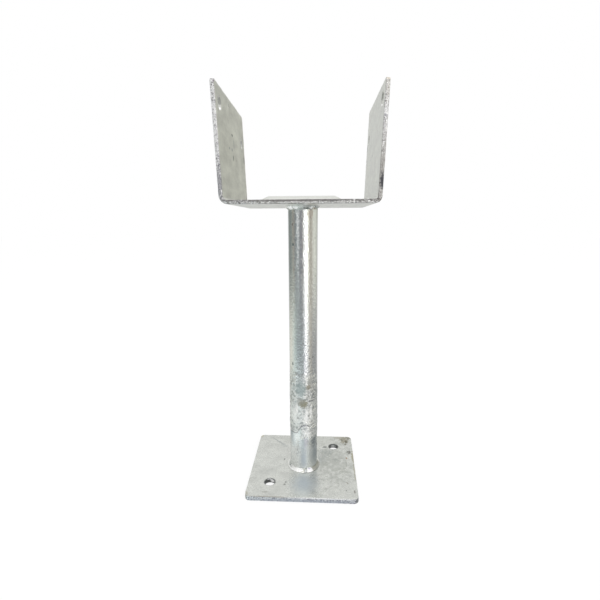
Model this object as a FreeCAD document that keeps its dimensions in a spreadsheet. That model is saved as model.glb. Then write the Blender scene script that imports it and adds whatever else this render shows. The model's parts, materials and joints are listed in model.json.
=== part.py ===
import FreeCAD, Part
import math
import os
import Sketcher

# Bolt-down timber post base, welded from mild steel and hot-dip galvanised: a square base plate,
# a round pipe leg and a saddle folded from one sheet, with a low seat plate that keeps the end of
# the post out of standing water. Millimetres and degrees; Z up; the origin is on the pipe's axis
# at the underside of the base plate, X runs across the saddle from ear to ear.

SIZES = [
    ("base_side", 130.0, "side of the square base plate"),
    ("base_thickness", 6.0, "thickness of the base plate"),
    ("base_corner_radius", 4.0, "rounding of the base plate's corners"),
    ("base_hole_diameter", 13.0, "anchor holes, for M12 anchors"),
    ("base_hole_inset", 26.0, "anchor hole centre from the two nearest edges"),
    ("vent_diameter", 12.0, "vent and drain holes on the pipe's axis"),
    ("pipe_diameter", 33.7, "outside diameter of the pipe leg"),
    ("pipe_wall", 3.2, "wall of the pipe leg"),
    ("pipe_length", 322.0, "pipe between the base plate and the saddle"),
    ("sheet_thickness", 4.0, "sheet that the saddle is folded from"),
    ("post_width", 150.0, "clear width between the ears where the bends end"),
    ("saddle_depth", 130.0, "depth of the saddle along the folds"),
    ("ear_height", 113.0, "top of an ear above the saddle's underside"),
    ("bend_radius", 4.0, "inside radius of both folds"),
    ("ear_splay", 2.0, "lean of each ear away from the post, in degrees"),
    ("ear_corner_radius", 4.0, "rounding of the ears' top corners"),
    ("ear_hole_diameter", 13.0, "post bolt holes, for M12 bolts"),
    ("ear_hole_edge", 16.0, "post bolt hole centre from the ear's front or rear edge"),
    ("front_hole_drop", 17.0, "front bolt hole below the top of the ear"),
    ("rear_hole_drop", 36.0, "rear bolt hole below the top of the ear"),
    ("seat_side", 70.0, "side of the square seat plate"),
    ("seat_thickness", 5.0, "thickness of the seat plate"),
    ("seat_corner_radius", 3.0, "rounding of the seat plate's corners"),
    ("foot_weld_leg", 5.0, "leg of the fillet weld round the pipe's foot"),
    ("neck_weld_leg", 4.0, "leg of the fillet weld round the pipe's top"),
    ("weld_crown", 3.0, "radius of a pipe weld's face, as a multiple of its leg"),
    ("seat_weld_leg", 5.0, "reach of the weld round the seat plate"),
    ("seat_weld_land", 0.4, "width of the seat weld along its upper edge"),
]

SADDLE_UNDERSIDE = "Sizes.base_thickness + Sizes.pipe_length"
SADDLE_FLOOR = SADDLE_UNDERSIDE + " + Sizes.sheet_thickness"
ORIGIN_POINT = (-1, 1)
X_AXIS = -1
START, END, CENTRE = 1, 2, 3
SAME = 0.01  # millimetres within which two lengths or places are taken as the same


def make_sizes(doc):
    """Spreadsheet of driving dimensions, one named cell each."""
    sheet = doc.addObject("Spreadsheet::Sheet", "Sizes")
    for row, (alias, value, meaning) in enumerate(SIZES, start=1):
        sheet.set(f"A{row}", alias)
        sheet.set(f"B{row}", str(value))
        sheet.set(f"C{row}", meaning)
        sheet.setAlias(f"B{row}", alias)
    doc.recompute()
    return sheet


def new_body(doc, label, height=None):
    """Body of one sub-part, lifted to its height by an expression."""
    body = doc.addObject("PartDesign::Body", label)
    body.Label = label
    if height:
        body.setExpression("Placement.Base.z", height)
    return body


def add_sketch(body, name, role, lift=None):
    """Sketch on one of the body's own origin planes, lifted along its normal if asked."""
    plane = next(item for item in body.Origin.OriginFeatures if item.Role == role)
    sketch = body.newObject("Sketcher::SketchObject", name)
    sketch.AttachmentSupport = [(plane, "")]
    sketch.MapMode = "FlatFace"
    if lift:
        sketch.setExpression("AttachmentOffset.Base.z", lift)
    return sketch


def dimension(sketch, name, expression, constraint):
    """Adds a dimension and ties it to the sheet."""
    index = sketch.addConstraint(constraint)
    sketch.renameConstraint(index, name)
    sketch.setExpression("Constraints." + name, expression)


def line(sketch, start, end):
    return sketch.addGeometry(Part.LineSegment(FreeCAD.Vector(*start, 0), FreeCAD.Vector(*end, 0)))


def arc(sketch, centre, radius, start_degrees, end_degrees):
    circle = Part.Circle(FreeCAD.Vector(*centre, 0), FreeCAD.Vector(0, 0, 1), radius)
    angles = math.radians(start_degrees), math.radians(end_degrees)
    return sketch.addGeometry(Part.ArcOfCircle(circle, *angles))


def hole_circle(sketch, name, x, y, diameter, x_rule, y_rule, diameter_rule):
    """Circle whose centre and diameter follow the sheet; a zero coordinate stays on its axis."""
    circle = Part.Circle(FreeCAD.Vector(x, y, 0), FreeCAD.Vector(0, 0, 1), diameter / 2)
    index = sketch.addGeometry(circle)
    dimension(sketch, name + "_size", diameter_rule,
              Sketcher.Constraint("Diameter", index, diameter))
    if x_rule is None:
        sketch.addConstraint(Sketcher.Constraint("Coincident", index, CENTRE, *ORIGIN_POINT))
        return
    dimension(sketch, name + "_x", x_rule,
              Sketcher.Constraint("DistanceX", *ORIGIN_POINT, index, CENTRE, x))
    dimension(sketch, name + "_y", y_rule,
              Sketcher.Constraint("DistanceY", *ORIGIN_POINT, index, CENTRE, y))


def rounded_square(sketch, side, radius, side_rule, radius_rule):
    """Square with rounded corners, centred on the sketch's origin."""
    half = side / 2
    straight = half - radius
    lines = [
        line(sketch, (-straight, -half), (straight, -half)),
        line(sketch, (half, -straight), (half, straight)),
        line(sketch, (straight, half), (-straight, half)),
        line(sketch, (-half, straight), (-half, -straight)),
    ]
    corners = [
        arc(sketch, (straight, -straight), radius, -90, 0),
        arc(sketch, (straight, straight), radius, 0, 90),
        arc(sketch, (-straight, straight), radius, 90, 180),
        arc(sketch, (-straight, -straight), radius, 180, 270),
    ]
    for i, corner in enumerate(corners):
        following = lines[(i + 1) % 4]
        sketch.addConstraint(Sketcher.Constraint("Tangent", lines[i], END, corner, START))
        sketch.addConstraint(Sketcher.Constraint("Tangent", corner, END, following, START))
        direction = "Horizontal" if i % 2 == 0 else "Vertical"
        sketch.addConstraint(Sketcher.Constraint(direction, lines[i]))
    for corner in corners[1:]:
        sketch.addConstraint(Sketcher.Constraint("Equal", corners[0], corner))
    sketch.addConstraint(
        Sketcher.Constraint("Symmetric", corners[0], CENTRE, corners[2], CENTRE, *ORIGIN_POINT))
    centres = f"{side_rule} - 2 * ({radius_rule})"
    dimension(sketch, "corner_radius", radius_rule,
              Sketcher.Constraint("Radius", corners[0], radius))
    dimension(sketch, "width", centres,
              Sketcher.Constraint("DistanceX", corners[2], CENTRE, corners[1], CENTRE, 2 * straight))
    dimension(sketch, "depth", centres,
              Sketcher.Constraint("DistanceY", corners[0], CENTRE, corners[1], CENTRE, 2 * straight))


def add_pad(body, sketch, name, length_rule, both_ways=False):
    pad = body.newObject("PartDesign::Pad", name)
    pad.Profile = sketch
    pad.SideType = "Symmetric" if both_ways else "One side"
    pad.setExpression("Length", length_rule)
    return pad


def add_pocket(doc, body, sketch, name):
    """Cuts through everything on both sides of the sketch, and makes sure that it has cut."""
    doc.recompute()
    before = body.Shape.Volume
    pocket = body.newObject("PartDesign::Pocket", name)
    pocket.Profile = sketch
    pocket.SideType = "Symmetric"
    pocket.Type = "ThroughAll"
    doc.recompute()
    if body.Shape.Volume >= before:
        raise RuntimeError(name + " removes nothing")
    return pocket


def make_base_plate(doc, sheet):
    """Sheared square plate with two anchor holes on a diagonal and a vent under the pipe."""
    body = new_body(doc, "base_plate")
    outline = add_sketch(body, "base_outline", "XY_Plane")
    rounded_square(outline, sheet.base_side, sheet.base_corner_radius,
                   "Sizes.base_side", "Sizes.base_corner_radius")
    add_pad(body, outline, "base_blank", "Sizes.base_thickness")
    holes = add_sketch(body, "base_holes", "XY_Plane")
    reach = sheet.base_side / 2 - sheet.base_hole_inset
    reach_rule = "(Sizes.base_side / 2 - Sizes.base_hole_inset)"
    for name, sign, sign_rule in (("front_left", -1, "-1 * "), ("rear_right", 1, "")):
        rule = sign_rule + reach_rule
        hole_circle(holes, name, sign * reach, sign * reach, sheet.base_hole_diameter,
                    rule, rule, "Sizes.base_hole_diameter")
    hole_circle(holes, "vent", 0, 0, sheet.vent_diameter, None, None, "Sizes.vent_diameter")
    add_pocket(doc, body, holes, "base_drilling")
    return body


def make_pipe_leg(doc, sheet):
    """Round pipe, cut square at both ends."""
    body = new_body(doc, "pipe_leg", "Sizes.base_thickness")
    section = add_sketch(body, "pipe_section", "XY_Plane")
    bore = sheet.pipe_diameter - 2 * sheet.pipe_wall
    hole_circle(section, "outside", 0, 0, sheet.pipe_diameter, None, None, "Sizes.pipe_diameter")
    hole_circle(section, "bore", 0, 0, bore, None, None,
                "Sizes.pipe_diameter - 2 * Sizes.pipe_wall")
    add_pad(body, section, "pipe_tube", "Sizes.pipe_length")
    return body


def make_pipe_weld(doc, sheet, label, leg, leg_rule, height, pointing):
    """Fillet weld round one end of the pipe: a crowned bead, pointing up (1) or down (-1)."""
    body = new_body(doc, label, height)
    profile = add_sketch(body, label + "_profile", "XZ_Plane")
    radius = sheet.pipe_diameter / 2
    root = (radius, 0)
    toe = (radius + leg, 0)
    top = (radius, pointing * leg)
    face_radius = sheet.weld_crown * leg
    half_chord = math.hypot(leg, leg) / 2
    back = math.sqrt(face_radius ** 2 - half_chord ** 2) * math.cos(math.radians(45))
    centre = (radius + leg / 2 - back, pointing * (leg / 2 - back))
    toe_angle = math.degrees(math.atan2(toe[1] - centre[1], toe[0] - centre[0]))
    top_angle = math.degrees(math.atan2(top[1] - centre[1], top[0] - centre[0]))
    foot_line = line(profile, root, toe)
    wall_line = line(profile, top, root)
    face = arc(profile, centre, face_radius, *sorted((toe_angle, top_angle)))
    toe_end, top_end = (START, END) if pointing > 0 else (END, START)
    rules = Sketcher.Constraint
    profile.addConstraint([
        rules("Coincident", foot_line, START, wall_line, END),
        rules("Coincident", foot_line, END, face, toe_end),
        rules("Coincident", wall_line, START, face, top_end),
        rules("Horizontal", foot_line),
        rules("Vertical", wall_line),
        rules("PointOnObject", foot_line, START, X_AXIS),
    ])
    dimension(profile, "pipe_face", "Sizes.pipe_diameter / 2",
              rules("DistanceX", *ORIGIN_POINT, foot_line, START, radius))
    dimension(profile, "foot_leg", leg_rule, rules("Distance", foot_line, leg))
    dimension(profile, "wall_leg", leg_rule, rules("Distance", wall_line, leg))
    dimension(profile, "crown", "Sizes.weld_crown * " + leg_rule,
              rules("Radius", face, face_radius))
    bead = body.newObject("PartDesign::Revolution", label + "_bead")
    bead.Profile = profile
    bead.ReferenceAxis = (profile, ["V_Axis"])
    bead.Angle = 360
    return body


def draw_half_saddle(sketch, sheet):
    """Half of the folded section: floor, fold and ear, all one sheet thick."""
    thickness = sheet.sheet_thickness
    inner = sheet.bend_radius
    outer = inner + thickness
    splay = math.radians(sheet.ear_splay)
    along = (math.sin(splay), math.cos(splay))
    across = (math.cos(splay), -math.sin(splay))
    centre = (sheet.post_width / 2 - inner * across[0], outer)
    fold_inside = (centre[0] + inner * across[0], centre[1] + inner * across[1])
    fold_outside = (centre[0] + outer * across[0], centre[1] + outer * across[1])
    reach = (sheet.ear_height - fold_inside[1]) / along[1]
    top_inside = (fold_inside[0] + reach * along[0], sheet.ear_height)
    top_outside = (top_inside[0] + thickness * across[0], top_inside[1] + thickness * across[1])

    underside = line(sketch, (0, 0), (centre[0], 0))
    outer_fold = arc(sketch, centre, outer, -90, -sheet.ear_splay)
    ear_outside = line(sketch, fold_outside, top_outside)
    ear_top = line(sketch, top_outside, top_inside)
    ear_inside = line(sketch, top_inside, fold_inside)
    inner_fold = arc(sketch, centre, inner, -90, -sheet.ear_splay)
    floor = line(sketch, (centre[0], thickness), (0, thickness))
    middle = line(sketch, (0, thickness), (0, 0))

    rules = Sketcher.Constraint
    sketch.addConstraint([
        rules("Coincident", underside, START, *ORIGIN_POINT),
        rules("Horizontal", underside),
        rules("Tangent", underside, END, outer_fold, START),
        rules("Tangent", outer_fold, END, ear_outside, START),
        rules("Perpendicular", ear_outside, END, ear_top, START),
        rules("Perpendicular", ear_top, END, ear_inside, START),
        rules("Tangent", ear_inside, END, inner_fold, END),
        rules("Tangent", inner_fold, START, floor, START),
        rules("Horizontal", floor),
        rules("Coincident", floor, END, middle, START),
        rules("Coincident", middle, END, underside, START),
        rules("Vertical", middle),
        rules("Coincident", outer_fold, CENTRE, inner_fold, CENTRE),
    ])
    dimension(sketch, "sheet", "Sizes.sheet_thickness", rules("Distance", middle, thickness))
    dimension(sketch, "fold", "Sizes.bend_radius", rules("Radius", inner_fold, inner))
    dimension(sketch, "lean", "(90 - Sizes.ear_splay) * 1 deg",
              rules("Angle", ear_outside, math.pi / 2 - splay))
    dimension(sketch, "half_width", "Sizes.post_width / 2",
              rules("DistanceX", *ORIGIN_POINT, ear_inside, END, sheet.post_width / 2))
    dimension(sketch, "height", "Sizes.ear_height",
              rules("DistanceY", *ORIGIN_POINT, ear_inside, START, sheet.ear_height))


def round_ear_corners(doc, body, sheet):
    """Rounds the four short edges where the ears' tops meet their front and rear edges."""
    doc.recompute()
    folded = body.Tip
    ends = sheet.saddle_depth / 2
    lowest = sheet.ear_height - sheet.sheet_thickness
    names = []
    for number, edge in enumerate(folded.Shape.Edges, start=1):
        box = edge.BoundBox
        across_ear = abs(edge.Length - sheet.sheet_thickness) < SAME
        at_end = min(abs(box.YMin - ends), abs(box.YMax + ends)) < SAME and box.YLength < SAME
        if across_ear and at_end and box.ZMin > lowest:
            names.append(f"Edge{number}")
    if len(names) != 4:
        raise RuntimeError(f"{len(names)} ear corners found, not 4")
    rounding = body.newObject("PartDesign::Fillet", "ear_corners")
    rounding.Base = (folded, names)
    rounding.setExpression("Radius", "Sizes.ear_corner_radius")
    body.Tip = rounding


def make_saddle(doc, sheet):
    """One sheet folded twice into a saddle, with staggered bolt holes bored through both ears."""
    body = new_body(doc, "saddle", SADDLE_UNDERSIDE)
    section = add_sketch(body, "saddle_section", "XZ_Plane")
    draw_half_saddle(section, sheet)
    half = add_pad(body, section, "saddle_half", "Sizes.saddle_depth", both_ways=True)
    doc.recompute()
    whole = body.newObject("PartDesign::Mirrored", "saddle_whole")
    whole.Originals = [half]
    whole.MirrorPlane = (section, ["V_Axis"])
    body.Tip = whole
    round_ear_corners(doc, body, sheet)

    bolts = add_sketch(body, "ear_holes", "YZ_Plane")
    reach = sheet.saddle_depth / 2 - sheet.ear_hole_edge
    reach_rule = "(Sizes.saddle_depth / 2 - Sizes.ear_hole_edge)"
    for name, sign, sign_rule, drop in (("front", -1, "-1 * ", sheet.front_hole_drop),
                                        ("rear", 1, "", sheet.rear_hole_drop)):
        hole_circle(bolts, name, sign * reach, sheet.ear_height - drop, sheet.ear_hole_diameter,
                    sign_rule + reach_rule, f"Sizes.ear_height - Sizes.{name}_hole_drop",
                    "Sizes.ear_hole_diameter")
    add_pocket(doc, body, bolts, "ear_boring")
    drain = add_sketch(body, "saddle_drain", "XY_Plane")
    hole_circle(drain, "drain", 0, 0, sheet.vent_diameter, None, None, "Sizes.vent_diameter")
    add_pocket(doc, body, drain, "drain_boring")
    return body


def make_seat_plate(doc, sheet):
    """Low plate in the middle of the saddle that carries the post's end grain."""
    body = new_body(doc, "seat_plate", SADDLE_FLOOR)
    outline = add_sketch(body, "seat_outline", "XY_Plane")
    rounded_square(outline, sheet.seat_side, sheet.seat_corner_radius,
                   "Sizes.seat_side", "Sizes.seat_corner_radius")
    hole_circle(outline, "drain", 0, 0, sheet.vent_diameter, None, None, "Sizes.vent_diameter")
    add_pad(body, outline, "seat_blank", "Sizes.seat_thickness")
    return body


def make_seat_weld(doc, sheet):
    """Sealing weld round the seat plate, sloping from the plate's upper edge to the floor."""
    body = new_body(doc, "seat_weld", SADDLE_FLOOR)
    outlines = []
    for name, reach, reach_rule, lift in (
            ("weld_toe", sheet.seat_weld_leg, "Sizes.seat_weld_leg", None),
            ("weld_top", sheet.seat_weld_land, "Sizes.seat_weld_land", "Sizes.seat_thickness")):
        outline = add_sketch(body, name, "XY_Plane", lift)
        rounded_square(outline, sheet.seat_side + 2 * reach, sheet.seat_corner_radius + reach,
                       f"(Sizes.seat_side + 2 * {reach_rule})",
                       f"Sizes.seat_corner_radius + {reach_rule}")
        outlines.append(outline)
    slope = body.newObject("PartDesign::AdditiveLoft", "weld_slope")
    slope.Profile = outlines[0]
    slope.Sections = outlines[1:]
    slope.Ruled = True
    room = add_sketch(body, "plate_room", "XY_Plane")
    rounded_square(room, sheet.seat_side, sheet.seat_corner_radius,
                   "Sizes.seat_side", "Sizes.seat_corner_radius")
    add_pocket(doc, body, room, "plate_recess")
    return body


def check_document(doc):
    """Stops if any object failed to compute."""
    for item in doc.Objects:
        bad = [state for state in item.State if state in ("Invalid", "Error")]
        if bad:
            raise RuntimeError(f"{item.Label} is {bad}")


def export_parts(bodies):
    """Writes each sub-part, in its place, to parts/NODE.step."""
    os.makedirs("parts", exist_ok=True)
    for body in bodies:
        shape = body.Shape
        if shape.isNull() or not shape.isValid() or len(shape.Solids) != 1:
            raise RuntimeError(body.Label + " is not one valid solid")
    for body in bodies:
        body.Shape.exportStep(f"parts/{body.Label}.step")
        print(f"{body.Label}: {body.Shape.Volume:.1f} mm3")


def main():
    doc = FreeCAD.newDocument("post_base")
    sheet = make_sizes(doc)
    bodies = [
        make_base_plate(doc, sheet),
        make_pipe_leg(doc, sheet),
        make_pipe_weld(doc, sheet, "foot_weld", sheet.foot_weld_leg, "Sizes.foot_weld_leg",
                       "Sizes.base_thickness", 1),
        make_pipe_weld(doc, sheet, "neck_weld", sheet.neck_weld_leg, "Sizes.neck_weld_leg",
                       SADDLE_UNDERSIDE, -1),
        make_saddle(doc, sheet),
        make_seat_plate(doc, sheet),
        make_seat_weld(doc, sheet),
    ]
    doc.recompute()
    check_document(doc)
    export_parts(bodies)


main()
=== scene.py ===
import json
import math
import bmesh
import bpy
from mathutils import Matrix, Vector, noise


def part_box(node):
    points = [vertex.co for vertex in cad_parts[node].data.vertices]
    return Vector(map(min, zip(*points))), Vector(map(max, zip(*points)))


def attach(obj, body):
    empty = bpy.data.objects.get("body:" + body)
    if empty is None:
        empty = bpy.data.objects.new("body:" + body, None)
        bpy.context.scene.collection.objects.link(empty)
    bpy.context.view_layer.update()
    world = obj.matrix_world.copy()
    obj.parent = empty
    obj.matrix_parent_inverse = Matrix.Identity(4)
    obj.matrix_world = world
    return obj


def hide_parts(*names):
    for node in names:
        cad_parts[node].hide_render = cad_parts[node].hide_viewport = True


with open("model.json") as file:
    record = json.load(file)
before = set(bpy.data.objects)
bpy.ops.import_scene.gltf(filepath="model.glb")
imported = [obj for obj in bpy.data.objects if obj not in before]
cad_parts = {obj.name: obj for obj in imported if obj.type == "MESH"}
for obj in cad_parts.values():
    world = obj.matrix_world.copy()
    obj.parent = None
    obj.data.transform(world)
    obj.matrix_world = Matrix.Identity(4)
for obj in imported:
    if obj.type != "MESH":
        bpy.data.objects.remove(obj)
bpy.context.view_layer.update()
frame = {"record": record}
print("frame loaded")


# Working helpers

def deselectAll():
    if bpy.context.object and bpy.context.object.mode != "OBJECT":
        bpy.ops.object.mode_set(mode="OBJECT")
    bpy.ops.object.select_all(action="DESELECT")


def startEdit(piece):
    deselectAll()
    bpy.context.view_layer.objects.active = piece
    piece.select_set(True)
    bpy.ops.object.mode_set(mode="EDIT")
    bpy.ops.mesh.select_mode(type="VERT")
    bpy.ops.mesh.select_all(action="DESELECT")


def endEdit():
    bpy.ops.object.mode_set(mode="OBJECT")


def pick(piece, rule):  # selects the corners for which rule(place) is true, and what lies between them
    shape = bmesh.from_edit_mesh(piece.data)
    for corner in shape.verts:
        corner.select = bool(rule(corner.co))
    shape.select_flush(True)
    shape.select_flush(False)
    bmesh.update_edit_mesh(piece.data)


def slicePiece(piece, axis, places):  # cuts the skin along planes across one axis, for relief to bend
    normal = Vector([1.0 if i == axis else 0.0 for i in range(3)])
    for place in places:
        bpy.ops.mesh.select_all(action="SELECT")
        bpy.ops.mesh.bisect(plane_co=normal * place, plane_no=normal)


def steps(low, high, size):  # evenly spaced places between two ends, ends left out
    count = max(1, round((high - low) / size))
    return [low + (high - low) * i / count for i in range(1, count)]


def applyModifier(piece, kind, **settings):
    deselectAll()
    bpy.context.view_layer.objects.active = piece
    piece.select_set(True)
    modifier = piece.modifiers.new(kind.lower(), kind)
    for key, value in settings.items():
        setattr(modifier, key, value)
    bpy.ops.object.modifier_apply(modifier=modifier.name)


def drill(piece, centre, direction, diameter, length, sides=56):
    deselectAll()
    turn = Vector((0, 0, 1)).rotation_difference(Vector(direction)).to_euler()
    bpy.ops.mesh.primitive_cylinder_add(vertices=sides, radius=diameter / 2, depth=length,
                                        location=centre, rotation=turn)
    cutter = bpy.context.object
    applyModifier(piece, "BOOLEAN", object=cutter, operation="DIFFERENCE", solver="EXACT")
    bpy.data.objects.remove(cutter, do_unlink=True)


def settlePlace(piece):  # leaves the object at the origin, with its place in its mesh
    deselectAll()
    bpy.context.view_layer.objects.active = piece
    piece.select_set(True)
    bpy.ops.object.transform_apply(location=True, rotation=True, scale=True)


def lumps(place, size, seed=0.0, octaves=2):
    return noise.fractal(place / size + Vector((seed, seed * 0.7, -seed)), 1.0, 2.0, octaves)


def pressRelief(piece, reliefOf):  # moves each corner along its normal by reliefOf(place, normal)
    corners = piece.data.vertices
    normals = [corner.normal.copy() for corner in corners]
    for corner, normal in zip(corners, normals):
        corner.co += normal * reliefOf(corner.co.copy(), normal)
    piece.data.update()


def markFaces(piece, label, rule):  # face value read by the materials, from 0 to 1
    values = piece.data.attributes.new(label, "FLOAT", "FACE")
    for face in piece.data.polygons:
        values.data[face.index].value = rule(face.center, face.normal)


def smooth(piece, angle):
    deselectAll()
    bpy.context.view_layer.objects.active = piece
    piece.select_set(True)
    bpy.ops.object.shade_smooth_by_angle(angle=math.radians(angle))


def fitPiece(piece, node, material):
    piece.data.materials.clear()
    piece.data.materials.append(material)
    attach(piece, "root")
    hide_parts(node)


def fadeIn(value, low, high):
    t = min(1.0, max(0.0, (value - low) / (high - low)))
    return t * t * (3 - 2 * t)


# Places taken from the frame

mounts = {mount["name"]: mount for mount in frame["record"]["mounts"]}
baseLow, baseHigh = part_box("base_plate")
pipeLow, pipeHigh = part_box("pipe_leg")
saddleLow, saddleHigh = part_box("saddle")
seatLow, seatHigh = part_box("seat_plate")
seatWeldLow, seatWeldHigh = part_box("seat_weld")
pipeRadius = pipeHigh.x
ventRadius = 0.006


# Flat plates

def flatPlate(name, side, bottom, thickness, cornerRadius):
    deselectAll()
    bpy.ops.mesh.primitive_plane_add(size=side, location=(0, 0, bottom))
    piece = bpy.context.object
    piece.name = name
    settlePlace(piece)
    startEdit(piece)
    bpy.ops.mesh.select_all(action="SELECT")
    bpy.ops.mesh.bevel(offset=cornerRadius, segments=7, affect="VERTICES")
    bpy.ops.mesh.select_all(action="SELECT")
    bpy.ops.mesh.extrude_region_move(TRANSFORM_OT_translate={"value": (0, 0, thickness)})
    bpy.ops.mesh.select_all(action="SELECT")
    bpy.ops.mesh.normals_make_consistent(inside=False)
    endEdit()
    return piece


def crossSlices(piece, side, cell):
    startEdit(piece)
    slicePiece(piece, 0, steps(-side / 2, side / 2, cell))
    slicePiece(piece, 1, steps(-side / 2, side / 2, cell))
    endEdit()


# Base plate: sheared square with its corners knocked round

basePlate = {
    "cornerRadius": 0.0058,
    "cell": 0.0026,
    "relief": 0.0002,      # room left inside the true size for lumps of zinc
    "rimRounding": 0.0009,
    "edgeLump": 0.00022,
    "faceWave": 0.00005,
}


def makeBasePlate():
    side = baseHigh.x - baseLow.x - 2 * basePlate["relief"]
    thickness = baseHigh.z - baseLow.z - basePlate["relief"]
    piece = flatPlate("basePlate", side, baseLow.z, thickness, basePlate["cornerRadius"])
    anchors = mounts["anchor_holes"]["dims"]
    reach = anchors["pcd_mm"] / 2000 * math.sqrt(0.5)
    holes = [(-reach, -reach, anchors["hole_r_mm"] / 1000),
             (reach, reach, anchors["hole_r_mm"] / 1000),
             (0, 0, ventRadius)]
    for x, y, radius in holes:
        drill(piece, (x, y, thickness / 2), (0, 0, 1), 2 * radius, 3 * thickness)
    applyModifier(piece, "BEVEL", width=basePlate["rimRounding"], segments=3, limit_method="ANGLE",
                  angle_limit=math.radians(40))
    crossSlices(piece, side, basePlate["cell"])
    startEdit(piece)
    slicePiece(piece, 2, [baseLow.z + thickness * share for share in (0.3, 0.45, 0.6, 0.75)])
    endEdit()

    def relief(place, normal):
        sides = fadeIn(1 - abs(normal.z), 0.05, 0.6)
        if normal.z < -0.5:
            return 0.0
        wave = basePlate["faceWave"] * lumps(place, 0.011)
        rough = lumps(place, 0.0034, 3.1) + 0.5 * lumps(place, 0.0013, 7.7)
        return wave - 0.00005 + sides * basePlate["edgeLump"] * min(0.7, rough)

    pressRelief(piece, relief)

    def inHole(centre, normal):
        near = min(math.hypot(centre.x - x, centre.y - y) - radius for x, y, radius in holes)
        return fadeIn(1 - abs(normal.z), 0.1, 0.5) if near < 0.001 else 0.0

    def onEdge(centre, normal):
        return 0.0 if inHole(centre, normal) else 1 - fadeIn(abs(normal.z), 0.35, 0.9)

    def onRim(centre, normal):
        return onEdge(centre, normal) * fadeIn(abs(normal.z), 0.3, 0.5)

    markFaces(piece, "bore", inHole)
    markFaces(piece, "cutEdge", onEdge)
    markFaces(piece, "rim", onRim)
    smooth(piece, 50)
    return piece


# Pipe leg, with a run of thick zinc that stopped part way down its front

pipeLeg = {
    "sides": 128,
    "wall": 0.0032,
    "row": 0.004,
    "fineRow": 0.001,
    "fineFrom": 0.040,
    "fineTo": 0.140,
    "runStep": 0.00028,    # how far the run of zinc stands out
    "scab": 0.00055,
    "pimple": 0.00018,
    "skinWave": 0.000014,
}


def aroundPipe(place):  # degrees round the pipe: 0 at the front, 90 at the right
    return math.degrees(math.atan2(place.x, -place.y))


def runEdge(angle):  # height where the run of zinc ends, round the pipe
    wander = 0.004 * math.sin(math.radians(angle * 2 + 40)) + 0.003 * math.sin(math.radians(angle * 5))
    near = 0.0565 + 0.0115 * fadeIn(angle, -32, 0) - 0.004 * fadeIn(angle, 8, 48)
    front = fadeIn(abs(angle), 110, 70)
    return near * front + (0.062 + wander) * (1 - front)


def crustOn(place, angle):  # 1 where the run of zinc lies thick and pale
    top = 0.126 + 0.009 * lumps(place, 0.007, 6.6)
    edge = runEdge(angle)
    end = 0.050 + 0.004 * lumps(place, 0.006, 4.1)
    run = fadeIn(place.z, top + 0.016, top - 0.012) * fadeIn(place.z, edge - 0.0003, edge + 0.0008)
    below = fadeIn(angle, -16, -6) * fadeIn(angle, 130, 90) * fadeIn(place.z, end - 0.002, end + 0.002)
    return max(run, 0.75 * below * fadeIn(place.z, edge, edge - 0.0012))


def lipOn(place, angle):  # the dark line where the run stopped: painted shade along its step
    width = 0.0011 + 0.0007 * lumps(place, 0.007, 1.2)
    shown = fadeIn(angle, -80, -66) * fadeIn(angle, 34, 20)
    return shown * fadeIn(abs(place.z - runEdge(angle) + 0.0004), width, width * 0.35)


def makePipeLeg():
    deselectAll()
    height = pipeHigh.z - pipeLow.z
    bpy.ops.mesh.primitive_cylinder_add(vertices=pipeLeg["sides"], radius=pipeRadius, depth=height,
                                        location=(0, 0, pipeLow.z + height / 2),
                                        end_fill_type="NOTHING")
    piece = bpy.context.object
    piece.name = "pipeLeg"
    settlePlace(piece)
    startEdit(piece)
    slicePiece(piece, 2, steps(pipeLow.z, pipeLeg["fineFrom"], pipeLeg["row"] / 2))
    slicePiece(piece, 2, steps(pipeLeg["fineFrom"], pipeLeg["fineTo"], pipeLeg["fineRow"]))
    slicePiece(piece, 2, steps(pipeLeg["fineTo"], pipeHigh.z, pipeLeg["row"]))
    endEdit()

    def relief(place, normal):
        angle = aroundPipe(place)
        wave = pipeLeg["skinWave"] * lumps(Vector((place.x, place.y, place.z * 0.35)), 0.009)
        scabs = lumps(place, 0.006, 2.3, 3)
        side = 0.45 + 0.55 * fadeIn(angle, -25, 10)
        return wave + crustOn(place, angle) * (pipeLeg["runStep"] * (0.55 + 0.45 * scabs)
                                               + side * pipeLeg["scab"] * max(0.0, scabs)
                                               + pipeLeg["pimple"] * lumps(place, 0.0026, 9.0))

    crust = piece.data.attributes.new("crust", "FLOAT", "POINT")
    lip = piece.data.attributes.new("lip", "FLOAT", "POINT")
    for corner in piece.data.vertices:
        angle = aroundPipe(corner.co)
        crust.data[corner.index].value = crustOn(corner.co, angle)
        lip.data[corner.index].value = lipOn(corner.co, angle)
    pressRelief(piece, relief)
    applyModifier(piece, "SOLIDIFY", thickness=pipeLeg["wall"], offset=-1.0)
    smooth(piece, 50)
    return piece


# Fillet welds round both ends of the pipe

pipeWeld = {
    "steps": 240,
    "pull": 0.40,          # how far the section's corner is drawn in, as a share of the leg
    "rounding": 0.3,
    "ripple": 0.00013,
    "lump": 0.00055,
    "seam": 0.0010,        # depth of the notch between two beads
    "thinner": 0.0012,     # how much less was laid down on one side
}


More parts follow.
